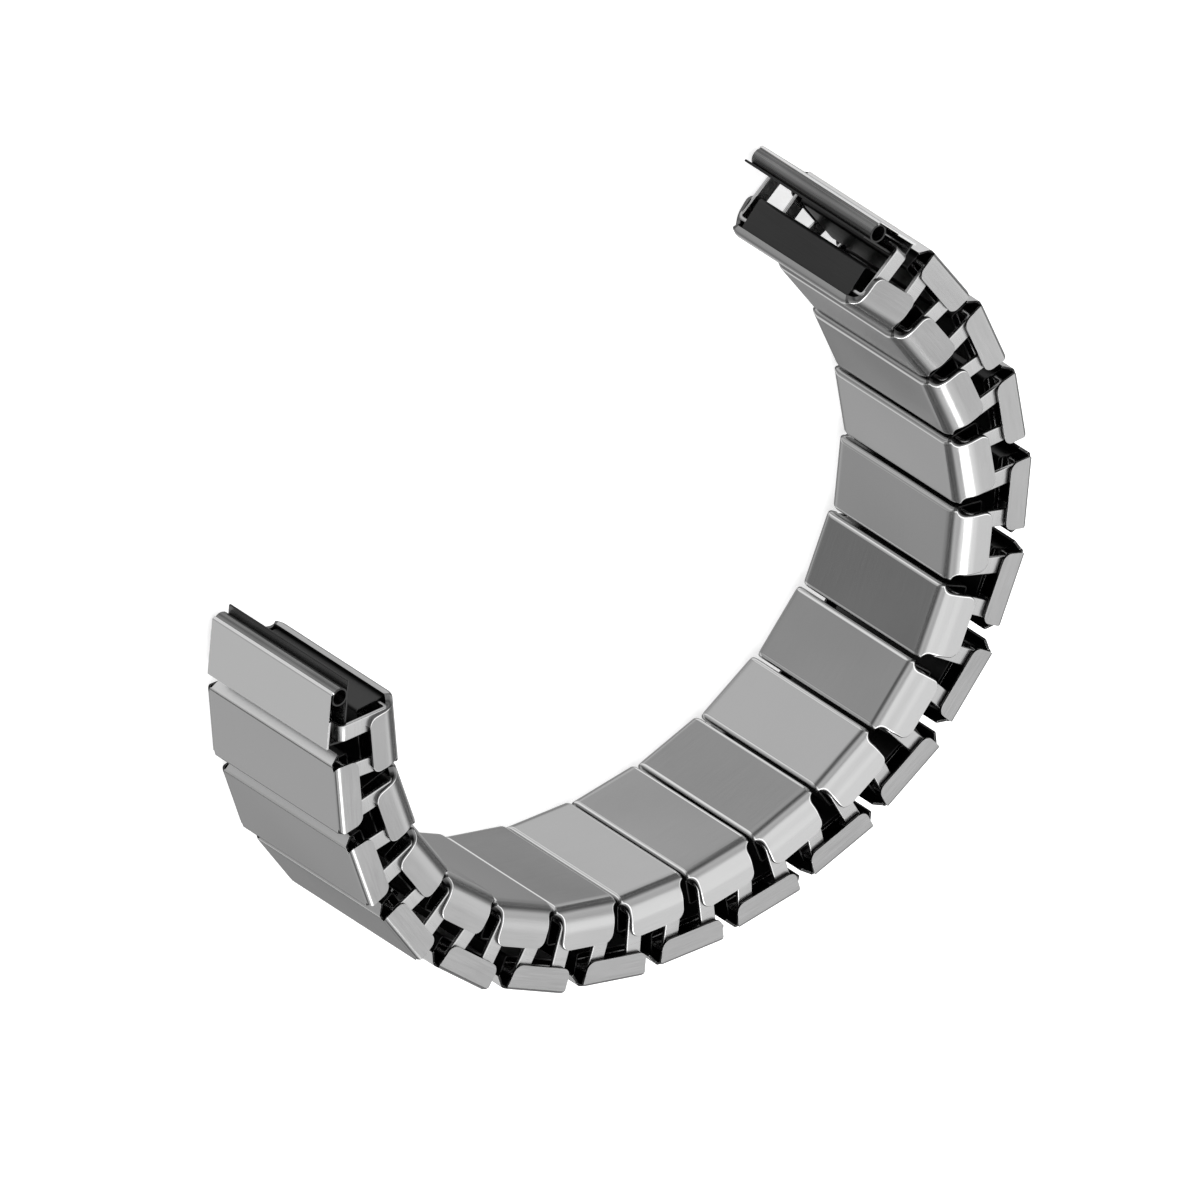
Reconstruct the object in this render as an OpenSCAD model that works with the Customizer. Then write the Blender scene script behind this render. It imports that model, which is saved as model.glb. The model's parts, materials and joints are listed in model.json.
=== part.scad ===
// Expansion watch bracelet: two staggered rows of hollow sheet-steel links, an
// outer row and a row on the wrist side. Flat strip bows, bent to a U, join the
// rows along both edges. Their legs lie inside the links under arched leaf
// springs. A link stretches away from the next when its bows lean over.
//
// The band lies on its side: the wrist passes along Z, the floor side is z = 0,
// and the opening for the watch head faces +Y. Each link has its own frame, with
// x along the band, y towards the wrist and z across the band.

/* [Band] */
// Width of the band over the side tabs
band_width = 16.8; // [14:0.2:22]
// Full-width links in the outer row, between the two end pieces
outer_links = 16; // [8:1:17]
// Distance from link to link when the band is straight and not stretched
link_pitch = 8.28; // [7.8:0.02:9.4]
// Distance between the two leg axes of a bow, from row to row
row_spacing = 4.8; // [4.4:0.1:6]
// Thickness of the sheet of covers and end pieces
sheet = 0.2; // [0.15:0.01:0.3]

/* [Curl at rest] */
// Average angle between one outer link and the next
mean_turn = 13.6; // [9:0.1:14]
// How much tighter and looser the curl gets round the oval
turn_wave = 3.3; // [0:0.1:4.6]
// Link at which the curl is tightest
wave_start = 3.8; // [0:0.1:8]
// Links from one tight place to the next
wave_length = 8.65; // [7:0.1:10]
// Extra turn gained with each link
turn_growth = 0.15; // [0:0.01:0.44]
// Lean of the bows at rest, from the links that they join
bow_lean = 7; // [5:0.1:9]

/* [Outer link] */
// Height of the outer face above the leg axis
outer_face = 1.2; // [1.1:0.02:1.6]
// Length of the flat outer face, along the band
outer_face_length = 6.6; // [6:0.05:6.9]
// Depth of the sloping long edges
flange_depth = 0.9; // [0.6:0.02:1]
// Height of the side tab
outer_tab_height = 2.3; // [2:0.02:2.5]
// Length of the side tab at its free edge
outer_tab_length = 6.08; // [5.4:0.02:6.4]
// Radius of the fold between face and tab
outer_fold_radius = 0.35; // [0.25:0.01:0.6]
// Radius of the tab's free corners
outer_tab_corner = 0.7; // [0.2:0.01:0.8]

/* [Inner link] */
// Height of the wrist-side face above the leg axis
inner_face = 1.35; // [1.2:0.02:1.8]
// Height of the side tab and its wide bend together
inner_tab_height = 3.5; // [2.8:0.05:3.6]
// Length of the side tab at its free edge
inner_tab_length = 5.5; // [4.8:0.02:5.8]
// Radius of the wide bend between face and tab
inner_bend_radius = 1.6; // [1:0.05:1.8]
// Radius of the tab's free corners
inner_tab_corner = 0.8; // [0.2:0.01:0.9]
// Depth of the lips along the long edges of the face
lip_depth = 0.8; // [0.5:0.01:1]
// Radius of the long edges of the face
lip_radius = 0.4; // [0.25:0.01:0.5]

/* [Bows, sleeves and springs] */
// Width of the bow strip
bow_width = 1.5; // [1.2:0.02:1.6]
// Thickness of the bow strip
bow_thick = 0.35; // [0.25:0.01:0.4]
// Outside radius of the bow's two bends
bow_bend_radius = 0.55; // [0.45:0.01:0.7]
// Gap left between the ends of a pair of bows in the middle of the band
leg_gap = 2.4; // [1.6:0.1:4]
// Wall of the sleeve inside a link
sleeve_wall = 0.15; // [0.12:0.01:0.2]
// Length of the sleeve that shows beyond the tab's free edge
sleeve_reveal = 0.15; // [0.08:0.01:0.3]
// Thickness of a leaf spring
leaf_thick = 0.12; // [0.08:0.01:0.14]

/* [End pieces] */
// How far each side of an end piece is set back from the tabs
end_inset = 0.7; // [0.65:0.05:1.5]
// Length of an end piece's flat face
end_face_length = 5.05; // [4.6:0.05:5.6]
// Distance from the leg axis to the outside of the rear wall
end_rear = 0.65; // [0.6:0.01:0.8]
// Rear wall beyond the face, towards the watch head
end_lip = 0.85; // [0.5:0.05:1.4]
// Radius of the hole for the spring bar
bar_radius = 0.65; // [0.5:0.01:0.68]
// Which part to draw

/* [Hidden] */
$fn = 96;
swing = 20;                     // furthest lean of a bow's leg in a link, degrees
slack = 0.04;                   // room round a leg at its furthest lean
seat = 0.02;                    // fit between a cover and its sleeve
web_gap = 0.1;                  // from a bow's web to the tab that hides it
touch_gap = 0.16;               // between two wrist-side faces where the curl is tightest
edge_gap = 0.18;                // half the gap between outer links in the straight band
pitches = outer_links + 1;
leg_x = link_pitch / 4;         // leg axis from the middle of its link
half = band_width / 2;
outer_half = outer_face_length / 2;
outer_edge = outer_tab_height - outer_face;
inner_edge = inner_face - inner_tab_height;
web_z = half - sheet - web_gap; // outside of a bow's web, from the middle of the band
leg_rise = bow_width / 2 * sin(swing) + bow_thick / 2 * cos(swing) + slack;
leg_reach = bow_width / 2 * cos(swing) + bow_thick / 2 * sin(swing) + slack;
sleeve_half = leg_x + leg_reach + sleeve_wall;
sleeve_end = min(web_z - 2 * bow_bend_radius, half - inner_bend_radius);
end_half = min(half - end_inset, web_z - bow_thick - slack);
end_start = outer_half - end_face_length;

// The curl: turn from one outer link to the next, for each of the pitches.
function turn_at(k) = mean_turn + turn_growth * (k - 9)
    + turn_wave * cos(360 * (k - wave_start) / wave_length);
turns = [for (k = [1 : pitches]) turn_at(k)];
tightest = max(turns);

// Heading of the outer link at place k, so that the band is even about the Y axis.
headings = [for (k = 1, a = 0; k <= pitches + 2; a = a + turn_at(k), k = k + 1) a];
function heading(k) = headings[k - 1] - headings[pitches] / 2;

// The wrist-side face is as long as the tightest turn leaves room for.
inner_half = (leg_x * (3 + cos(tightest)) - 2 * row_spacing * sin(bow_lean)
    - inner_face * sin(tightest) - touch_gap) / (1 + cos(tightest));

// Unit vectors along the band and towards the wrist, where the heading is a.
function along(a) = [cos(a), sin(a)];
function inward(a) = [-sin(a), cos(a)];

// From an outer link to the inner link after it: over a leg, down a bow, to the middle.
function down_step(k) = leg_x * along(heading(k))
    + row_spacing * inward(heading(k) + bow_lean) + leg_x * along(heading(k + 1));
// From there to the next outer link: over a leg, up a bow, to the middle.
function up_step(k) = 2 * leg_x * along(heading(k + 1))
    - row_spacing * inward(heading(k + 1) - bow_lean);
// Middle of the outer link at each place, place 1 being the left end piece.
places = [for (k = 1, p = [0, 0]; k <= pitches + 1; p = p + down_step(k) + up_step(k),
    k = k + 1) p];

// The middle of the whole band, from the outermost corners of its links.
left_corners = [[end_start, -outer_face], [end_start - end_lip, end_rear]];
link_corners = [[-outer_half, -outer_face], [outer_half, -outer_face]];
function corners(k) = k == 1 ? left_corners
    : k <= pitches ? link_corners : [for (p = left_corners) [-p.x, p.y]];
rim = [for (k = [1 : pitches + 1], p = corners(k))
    places[k - 1] + p.x * along(heading(k)) + p.y * inward(heading(k))];
middle = [for (axis = [0, 1]) let (c = [for (p = rim) p[axis]]) (min(c) + max(c)) / 2];

function numbered(name, k) = str(name, k < 10 ? "_0" : "_", k);

// Puts a drawing made in a link's frame into the band.
module place(xy, a) {
    translate([xy.x - middle.x, xy.y - middle.y, half]) rotate(a) children();
}

// Extrudes a drawing of (y, z) along the band.
module run_x(length) {
    rotate([90, 0, 90]) linear_extrude(length, center = true) children();
}

// Extrudes a drawing of (x, y) across the band.
module run_z(length) {
    linear_extrude(length, center = true) children();
}

// A rectangle with round corners, between two opposite corners.
module round_box(low, high, r) {
    for (x = [low.x + r, high.x - r], y = [low.y + r, high.y - r])
        translate([x, y]) circle(r);
    translate([low.x + r, low.y]) square([high.x - low.x - 2 * r, high.y - low.y]);
    translate([low.x, low.y + r]) square([high.x - low.x, high.y - low.y - 2 * r]);
}

// A sheet bent to a channel across the band: the face at y = 0, a tab on each side.
module channel(height, r) {
    difference() {
        round_box([0, -half], [height + 2 * r, half], r);
        round_box([sheet, sheet - half], [height + 3 * r, half - sheet], r - sheet);
        translate([height, -band_width]) square([4 * r, 2 * band_width]);
    }
}

// Sleeve: a flat tube round the legs in a link, between two heights.
module sleeve(bottom, top) {
    color("DimGray") run_z(2 * sleeve_end) difference() {
        round_box([-sleeve_half, bottom], [sleeve_half, top], 2 * sleeve_wall);
        round_box([sleeve_wall - sleeve_half, bottom + sleeve_wall],
            [sleeve_half - sleeve_wall, top - sleeve_wall], sleeve_wall);
    }
}

// Leaf spring: an arch across the band. Its ends press on the legs and its crown,
// at height crown, on the wall. It is drawn as it is with the legs at full lean.
module leaf(start, stop, crown) {
    side = sign(crown);
    reach = sleeve_end - 2 * leaf_thick - slack;
    rise = abs(crown) - leaf_thick - leg_rise;
    radius = (reach * reach + rise * rise) / (2 * rise);
    color("Gainsboro") translate([(start + stop) / 2, side * leg_rise, 0])
        run_x(stop - start) intersection() {
            translate([side * (rise - radius), 0]) difference() {
                circle(radius + leaf_thick);
                circle(radius);
            }
            square(2 * [outer_face, reach], center = true);
        }
}

// Bow: a flat strip bent to a U. Its web stands at the band's edge, its two legs
// reach into an outer link (axis at y = 0) and an inner link.
module bow() {
    color("LightGray") run_x(bow_width) difference() {
        round_box([-bow_thick / 2, -web_z], [row_spacing + bow_thick / 2, web_z],
            bow_bend_radius);
        round_box([bow_thick / 2, -web_z], [row_spacing - bow_thick / 2, web_z - bow_thick],
            bow_bend_radius - bow_thick);
        translate([-row_spacing, -2 * web_z])
            square([3 * row_spacing, 2 * web_z + leg_gap / 2]);
    }
}

// The same bow at both edges of the band.
module two_bows() {
    bow();
    mirror([0, 0, 1]) bow();
}

// One half of an outer face, with its sloping long edge.
module sloped_half(s) {
    tip = link_pitch / 2 - edge_gap;
    slope = atan2(flange_depth, tip - outer_half);
    polygon([[0, 0], [s * outer_half, 0], [s * tip, flange_depth],
        [s * (tip - sheet * sin(slope)), flange_depth + sheet * cos(slope)],
        [s * (outer_half - sheet * tan(slope / 2)), sheet], [0, sheet]]);
}

// Side view of an outer tab: a shallow trapezoid with round free corners.
module outer_tab_outline() {
    r = outer_tab_corner;
    lean = atan((outer_face_length - outer_tab_length) / 2 / outer_tab_height);
    x = outer_tab_length / 2 - r * tan(45 - lean / 2);
    y = outer_tab_height - r;
    side = [x + r * cos(lean), y + r * sin(lean)];
    for (s = [-1, 1]) translate([s * x, y]) circle(r);
    polygon([[-outer_half, 0], [outer_half, 0], side, [x, outer_tab_height],
        [-x, outer_tab_height], [-side.x, side.y]]);
}

// Cover of an outer link: flat face, sloping long edges, a folded tab at each side.
module outer_cover() {
    color("Silver") translate([0, -outer_face, 0]) {
        intersection() {
            run_x(link_pitch) channel(outer_tab_height, outer_fold_radius);
            run_z(2 * band_width) outer_tab_outline();
        }
        run_z(band_width - 2 * outer_fold_radius) {
            sloped_half(1);
            sloped_half(-1);
        }
    }
}

// Side view of an inner cover: the tab flares out to the wrist-side face.
module inner_outline() {
    tab = inner_tab_length / 2;
    flare = inner_half - tab;
    shoulder = inner_face - lip_radius;
    round_box([-tab, inner_edge], [tab, inner_face], inner_tab_corner);
    intersection() {
        round_box([-inner_half, inner_edge], [inner_half, inner_face], lip_radius);
        translate([-inner_half, shoulder]) square([2 * inner_half, lip_radius]);
    }
    for (s = [-1, 1]) translate([s * inner_half, shoulder - flare]) difference() {
        translate([-s * flare / 2, flare / 2]) square(flare, center = true);
        circle(flare);
    }
}

// Cover of an inner link: the face turns through a wide bend into each tab, and
// has a shallow lip along its long edges.
module inner_cover() {
    color("Silver") {
        intersection() {
            run_x(link_pitch) translate([inner_face, 0]) mirror([1, 0])
                channel(inner_tab_height, inner_bend_radius);
            run_z(2 * band_width) inner_outline();
        }
        run_z(band_width - 2 * inner_bend_radius) difference() {
            round_box([-inner_half, inner_edge], [inner_half, inner_face], lip_radius);
            round_box([sheet - inner_half, inner_edge - 1],
                [inner_half - sheet, inner_face - sheet], lip_radius - sheet);
            translate([-link_pitch, inner_edge - 1])
                square([2 * link_pitch, inner_tab_height + 1 - lip_depth]);
        }
    }
}

// Outer link: cover, sleeve and leaf spring.
module outer_link(k) {
    place(places[k], heading(k + 1)) {
        outer_cover();
        sleeve(sheet + seat - outer_face, outer_edge + sleeve_reveal);
        leaf(2 * sleeve_wall - sleeve_half, sleeve_half - 2 * sleeve_wall,
            outer_edge + sleeve_reveal - sleeve_wall - seat);
    }
}

// Inner link: cover, sleeve, leaf spring, and the two bows that go with it.
module inner_link(k) {
    place(places[k - 1] + down_step(k), heading(k + 1)) {
        inner_cover();
        sleeve(inner_edge - sleeve_reveal, inner_face - sheet - seat);
        leaf(2 * sleeve_wall - sleeve_half, sleeve_half - 2 * sleeve_wall,
            inner_face - sheet - sleeve_wall - 2 * seat);
    }
    place(places[k - 1] + leg_x * along(heading(k)), heading(k) + bow_lean) two_bows();
}

// The two bows between inner link k and the outer link after it.
module bow_pair(k) {
    place(places[k] - leg_x * along(heading(k + 1)), heading(k + 1) - bow_lean) two_bows();
}

// End piece: face, rear wall with a raised lip, and the tube for the spring bar.
module end_body() {
    bar = [end_start + 0.45, (end_rear - outer_face) / 2];
    bevel = [end_start - sheet, sheet - outer_face];
    color("LightGray") run_z(2 * end_half) difference() {
        union() {
            polygon([[outer_half, -outer_face], [end_start, -outer_face], bevel,
                [outer_half, bevel.y]]);
            translate([end_start - end_lip, end_rear - sheet])
                square([sleeve_half - end_start + end_lip, sheet]);
            translate([sleeve_half - sheet, sheet / 2 - outer_face])
                square([sheet, end_rear + outer_face - sheet]);
            translate(bar) circle((end_rear + outer_face - sheet) / 2);
        }
        translate(bar) circle(bar_radius);
    }
}

module end_piece() {
    end_body();
    leaf(end_start + 2 * bar_radius + sheet, sleeve_half - sheet - slack,
        sheet + seat - outer_face);
}

module end_piece_left() {
    place(places[0], heading(1)) end_piece();
}

module end_piece_right() {
    place(places[pitches], heading(pitches + 1)) mirror([1, 0, 0]) end_piece();
}

end_piece_left();
end_piece_right();
for (k = [1 : outer_links])
    outer_link(k);
for (k = [1 : pitches])
    inner_link(k);
for (k = [1 : pitches])
    bow_pair(k);
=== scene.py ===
# %% [markdown]
# # A stretching steel watch bracelet
# The bracelet is a band of two staggered rows of hollow steel links. Flat strips, bent to a U,
# join the rows along both edges, and a leaf spring in every link pulls the band short again after
# it has been stretched over a hand.
# This lesson dresses the bare engineering model. Each piece of sheet, strip or tube becomes a
# surface worked out with numpy, in the frame of its own link, and is then turned into its place.

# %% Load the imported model
import bpy
import json
import math
import numpy as np
from mathutils import Matrix, Vector


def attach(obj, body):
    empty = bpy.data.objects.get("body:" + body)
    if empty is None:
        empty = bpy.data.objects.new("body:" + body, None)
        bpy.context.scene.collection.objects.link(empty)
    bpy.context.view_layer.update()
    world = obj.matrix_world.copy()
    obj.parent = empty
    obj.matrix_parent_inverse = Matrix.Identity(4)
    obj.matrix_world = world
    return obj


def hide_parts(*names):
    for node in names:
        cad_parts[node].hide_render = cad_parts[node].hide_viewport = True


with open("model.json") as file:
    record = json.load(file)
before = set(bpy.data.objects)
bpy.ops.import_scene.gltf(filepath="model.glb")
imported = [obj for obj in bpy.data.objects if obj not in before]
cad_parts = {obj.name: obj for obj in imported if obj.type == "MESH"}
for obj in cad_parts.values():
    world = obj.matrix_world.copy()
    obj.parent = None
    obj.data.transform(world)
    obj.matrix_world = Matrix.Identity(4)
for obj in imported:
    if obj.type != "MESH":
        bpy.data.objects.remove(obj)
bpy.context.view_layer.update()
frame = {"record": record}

# %% [markdown]
# ## Where each link stands
# On the real band every link turns about the legs of its bows. The model's joints give those leg
# axes, so no place has to be typed again: an outer link lies between two leg axes of its own, and
# a bow runs from a leg in the outer row to a leg in the inner row. Reading the joints is better
# than copying numbers, because the dressed band follows when the curl is changed.

# %% Leg axes and link frames, in millimetres
MM = 0.001
PITCHES = 17
HALF = 8.4                      # half the width of the band
LEG_X = 2.07                    # leg axis from the middle of its link
ROWS = 4.8                      # from the outer leg axis to the inner one
LEAN = math.radians(7)          # how far the bows lean at rest
BAR = np.array([-1.3, -0.275])  # spring bar in the frame of the left end piece

pivot = {j["name"]: np.array(j["pos_m"][:2]) / MM
         for j in frame["record"]["behaviour"]["joints"]}
mount = {m["name"]: np.array(m["pos_m"][:2]) / MM for m in frame["record"]["mounts"]}


def angle(v):
    """Heading of a direction (x, y) seen from above."""
    return math.atan2(v[1], v[0])


def along(a):
    """Unit vector along the band, where the link's heading is a."""
    return np.array([math.cos(a), math.sin(a)])


left_heading = (angle(pivot["bend_01"] - mount["spring_bar_left"])
                - angle([LEG_X - BAR[0], -BAR[1]]))
right_heading = (angle(pivot["level_17"] - mount["spring_bar_right"])
                 - angle([BAR[0] - LEG_X, -BAR[1]]))
left_end = (pivot["bend_01"] - LEG_X * along(left_heading), left_heading)
right_end = (pivot["level_17"] + LEG_X * along(right_heading), right_heading)
outer = {}
for k in range(1, PITCHES):
    start, stop = pivot[f"level_{k:02d}"], pivot[f"bend_{k + 1:02d}"]
    outer[k] = ((start + stop) / 2, angle(stop - start))
outer[PITCHES] = right_end
inner = {}
for k in range(1, PITCHES + 1):
    inner[k] = (pivot[f"stretch_{k:02d}"] - LEG_X * along(outer[k][1]), outer[k][1])
headings = [left_heading] + [outer[k][1] for k in range(1, PITCHES + 1)]
turns = [((b - a + math.pi) % (2 * math.pi)) - math.pi for a, b in zip(headings, headings[1:])]
print("turn from link to link, degrees:", [round(math.degrees(t), 1) for t in turns])


def bow_spot(foot, head):
    """Frame of a bow: its foot is the origin and y runs up to its head in the inner row."""
    return foot, angle(head - foot) - math.pi / 2


# %% [markdown]
# ## The camera
# The photograph is close to a parallel view, so the camera is orthographic. Its direction, roll
# and scale come from fitting the corners of the links to the photograph. A perspective camera far
# away would do as well, but a parallel one keeps the measured scale.

# %% Camera
AZIMUTH, ELEVATION, ROLL = -154.54, 41.54, 122.84   # degrees
AIM = np.array([-2.486, 5.792, 8.4]) * MM           # the point in the middle of the frame
VIEW_WIDTH = 97.06 * MM
STAND_OFF = 0.4                                     # metres from the aim to the camera


def camera_turn(azimuth, elevation, roll):
    """Columns right, up and back of a camera that looks at the origin from azimuth and elevation.

    back = (sin az cos el, -cos az cos el, sin el); right and up start level, then turn by roll."""
    az, el, ro = (math.radians(v) for v in (azimuth, elevation, roll))
    back = np.array([math.sin(az) * math.cos(el), -math.cos(az) * math.cos(el), math.sin(el)])
    level = np.array([math.cos(az), math.sin(az), 0.0])
    rise = np.cross(back, level)
    right = math.cos(ro) * level + math.sin(ro) * rise
    up = math.cos(ro) * rise - math.sin(ro) * level
    return right, up, back


right, up, back = camera_turn(AZIMUTH, ELEVATION, ROLL)
camera_data = bpy.data.cameras.new("camera")
camera_data.type = "ORTHO"
camera_data.ortho_scale = VIEW_WIDTH
camera_data.clip_start, camera_data.clip_end = 0.01, 5.0
camera = bpy.data.objects.new("camera", camera_data)
bpy.context.scene.collection.objects.link(camera)
camera.matrix_world = Matrix(
    [[float(right[i]), float(up[i]), float(back[i]), float(AIM[i] + STAND_OFF * back[i])]
     for i in range(3)] + [[0, 0, 0, 1]])
bpy.context.scene.camera = camera
print("camera back vector:", back.round(3))

# %% [markdown]
# ## From a grid of points to a piece
# A sheet-metal part is one skin with a thickness. The skin is drawn here as a grid of points,
# which is a function of two parameters, and Solidify gives it the gauge of the sheet. A small
# bevel rounds the cut edges, as tumbling does in the factory, and can take a finish of its own:
# a polished tone whose near-white colour is a painted highlight, or a dark tone that paints shade.
# A box with edges cut into it would need more work and would show no sheet.

# %% Grids and their place
GRAIN_STEP = 0.037    # metres by which the brushing moves on from one seed to the next


def quads(rows, columns, wrap=False, keep=None):
    """Corners of the quads between neighbouring rows and columns of points, numbered by rows."""
    r, c = np.meshgrid(np.arange(rows - 1), np.arange(columns if wrap else columns - 1),
                       indexing="ij")
    right_of = (c + 1) % columns
    faces = np.stack([r * columns + c, r * columns + right_of,
                      (r + 1) * columns + right_of, (r + 1) * columns + c], axis=-1)
    return faces.reshape(-1, 4) if keep is None else faces[keep]


def placed(points, spot):
    """Turns points by the heading of the spot and moves them there: x' = c + x u(a) + y v(a)."""
    (cx, cy), a = spot
    x, y, z = points.T
    return np.stack([cx + x * math.cos(a) - y * math.sin(a),
                     cy + x * math.sin(a) + y * math.cos(a), z + HALF], axis=1) * MM


def link_object(name, points, corners, spot, seed, materials):
    """One object at the origin, made of points in a link's frame that are turned to their place.

    The attribute grain keeps the place of each point in its own link, so that the brushing
    follows the link wherever it stands. seed moves the pattern on, so no two links look alike."""
    mesh = bpy.data.meshes.new(name)
    mesh.from_pydata(placed(points, spot).tolist(), [], corners)
    grain = mesh.attributes.new("grain", "FLOAT_VECTOR", "POINT")
    shift = np.array([0.0, 0.0, GRAIN_STEP * seed])
    grain.data.foreach_set("vector", (points * MM + shift).ravel())
    mesh.polygons.foreach_set("use_smooth", np.ones(len(mesh.polygons), dtype=bool))
    for material in materials:
        mesh.materials.append(material)
    thing = bpy.data.objects.new(name, mesh)
    bpy.context.scene.collection.objects.link(thing)
    return thing


def piece(name, points, faces, spot, body, materials, slot, seed, flip=False, finish=None):
    """Makes one object of the points that its faces use, and lets it ride on its body.

    finish is the number of the material of each quad, where it isn't the first."""
    used, number = np.unique(faces, return_inverse=True)
    corners = number.reshape(faces.shape)
    if flip:
        corners = corners[:, ::-1]
    thing = link_object(name, points.reshape(-1, 3)[used], corners.tolist(), spot, seed,
                        materials)
    if finish is not None:
        thing.data.polygons.foreach_set("material_index", finish.astype(np.int32))
    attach(thing, body)
    return thing


# %% Gauge and rounded edges
SHARP = math.radians(40)    # edges sharper than this are rounded


def even_shading(thing):
    """Lets the large faces set the shading, so that flat sheet looks flat beside a rounding."""
    flat = thing.modifiers.new("even shading", "WEIGHTED_NORMAL")
    flat.keep_sharp = True


def sheet_metal(thing, thickness, edge, edge_material=1, inside=0, cut=None):
    """Gives a skin its thickness inwards and rounds its cut edges by the radius edge.

    inside is added to a face's finish number on the inner side. edge_material is the number of
    the finish on the rounding, and cut that of the finish on the cut edge, where it differs."""
    wall = thing.modifiers.new("gauge", "SOLIDIFY")
    wall.thickness, wall.offset, wall.use_even_offset = thickness * MM, -1, True
    wall.material_offset = inside
    wall.material_offset_rim = edge_material if cut is None else cut
    bevel = thing.modifiers.new("tumbled edge", "BEVEL")
    bevel.width, bevel.segments, bevel.limit_method = edge * MM, 2, "ANGLE"
    bevel.angle_limit, bevel.material = SHARP, edge_material
    bevel.harden_normals = True
    even_shading(thing)


# %% [markdown]
# ## Steel finishes, and painted light and shade
# The covers are satin steel: the sheet is brushed on a belt, which leaves fine lines in one
# direction, a soft gloss and slightly uneven patches. The lines are noise that is stretched
# lengthways, used for tone, roughness and a very small bump. Finger marks are a second, coarse
# noise. An image of brushed metal would repeat from link to link, and noise doesn't. Several
# finishes are lighter or darker copies of one steel, which paint highlights where the band
# catches light and shade where it lies in shadow.

# %% Noise for steel
FINGER_MARKS = (140, 140, 90)     # how often a noise changes per metre, along x, y and z
ALONG = (350, 9000, 9000)         # lines that run along the band
ACROSS = (9000, 9000, 350)        # lines that run across the band
ROLLED = (60, 2500, 2500)         # long, coarse lines of rolled strip
STREAKS = (5200, 5200, 60)        # drawn streaks from edge to edge of the band
BUMP_DEPTH = 0.00001              # metres


def noise(nodes, links, source, scale, detail, name):
    """Noise over coordinates that are scaled by scale = (x, y, z) per metre."""
    mapping = nodes.new("ShaderNodeMapping")
    mapping.inputs["Scale"].default_value = scale
    links.new(source, mapping.inputs["Vector"])
    texture = nodes.new("ShaderNodeTexNoise")
    texture.inputs["Scale"].default_value = 1.0
    texture.inputs["Detail"].default_value = detail
    texture.label = name
    links.new(mapping.outputs["Vector"], texture.inputs["Vector"])
    return texture.outputs["Fac"]


def spread(nodes, links, source, low, high):
    """Stretches the middle of a noise (0.3 to 0.7) to the range low to high."""
    node = nodes.new("ShaderNodeMapRange")
    node.inputs["From Min"].default_value, node.inputs["From Max"].default_value = 0.3, 0.7
    node.inputs["To Min"].default_value, node.inputs["To Max"].default_value = low, high
    links.new(source, node.inputs["Value"])
    return node.outputs["Result"]


def added(nodes, links, first, second):
    """Sum of two values."""
    node = nodes.new("ShaderNodeMath")
    node.operation = "ADD"
    links.new(first, node.inputs[0])
    links.new(second, node.inputs[1])
    return node.outputs["Value"]


def steel(name, tone, tone_change, roughness, lines, bump):
    """Bare metal with brushed lines: the tone is tone -+ tone_change, by 0.6 finger marks and
    0.4 lines; the roughness is a range (low, high) by the lines, plus a little by the marks."""
    material = bpy.data.materials.new(name)
    material.use_nodes = True
    nodes, links = material.node_tree.nodes, material.node_tree.links
    shader = nodes["Principled BSDF"]
    shader.inputs["Metallic"].default_value = 1.0
    place = nodes.new("ShaderNodeAttribute")
    place.attribute_name = "grain"
    brushed = noise(nodes, links, place.outputs["Vector"], lines, 3.0, "brushed lines")
    marks = noise(nodes, links, place.outputs["Vector"], FINGER_MARKS, 4.0, "finger marks")
    colour = nodes.new("ShaderNodeMix")
    colour.data_type = "RGBA"
    dark, light = tone - tone_change, tone + tone_change
    colour.inputs["A"].default_value = (dark, dark, dark, 1)
    colour.inputs["B"].default_value = (light, light, light, 1)
    links.new(added(nodes, links, spread(nodes, links, marks, 0, 0.6),
                    spread(nodes, links, brushed, 0, 0.4)), colour.inputs["Factor"])
    links.new(colour.outputs["Result"], shader.inputs["Base Color"])
    links.new(added(nodes, links, spread(nodes, links, brushed, *roughness),
                    spread(nodes, links, marks, -0.02, 0.03)), shader.inputs["Roughness"])
    relief = nodes.new("ShaderNodeBump")
    relief.inputs["Strength"].default_value = bump
    relief.inputs["Distance"].default_value = BUMP_DEPTH
    links.new(brushed, relief.inputs["Height"])
    links.new(relief.outputs["Normal"], shader.inputs["Normal"])
    return material


# %% Finishes, and copies of them that paint light and shade
outer_satin = steel("outer link satin steel", 0.53, 0.02, (0.17, 0.25), ALONG, 0.2)
inner_satin = steel("inner link satin steel", 0.52, 0.02, (0.15, 0.22), ALONG, 0.2)
# painted shade: near-black steel for the inner sides and cut edges of the covers and end pieces,
# and the inner covers' rounded edges, where shade falls
shaded_inside_steel = steel("inside of the covers, painted shade", 0.06, 0.01, (0.35, 0.45), ALONG, 0.2)
# painted highlight: a much lighter copy of the outer steel for the slopes along the long edges
slope_painted_highlight = steel("sloping edge, painted highlight", 0.90, 0.03, (0.28, 0.36), ALONG, 0.2)
# painted shade: a dark copy of the cover steel for the lips beside the tabs and the outer covers'
# creases
painted_shade_lip_steel = steel("lip on the tab's side, painted shade", 0.2, 0.03, (0.25, 0.35), ALONG, 0.2)
# polished edge: its low roughness is real, its near-white tone is a painted highlight, on rims and
# on the start of the inner lips
polish_and_painted_highlight = steel("polished edge, painted highlight", 0.93, 0.02, (0.07, 0.12), ALONG, 0.05)
# painted shade: near-black steel for the sleeves, which lie in shade inside the covers
painted_shade_sleeve_steel = steel("sleeve steel, painted shade", 0.07, 0.01, (0.32, 0.42), ACROSS, 0.3)
bow_steel = steel("rolled bow strip", 0.60, 0.02, (0.24, 0.30), ROLLED, 0.05)
leaf_steel = steel("spring steel", 0.34, 0.03, (0.20, 0.30), ACROSS, 0.25)
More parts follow.
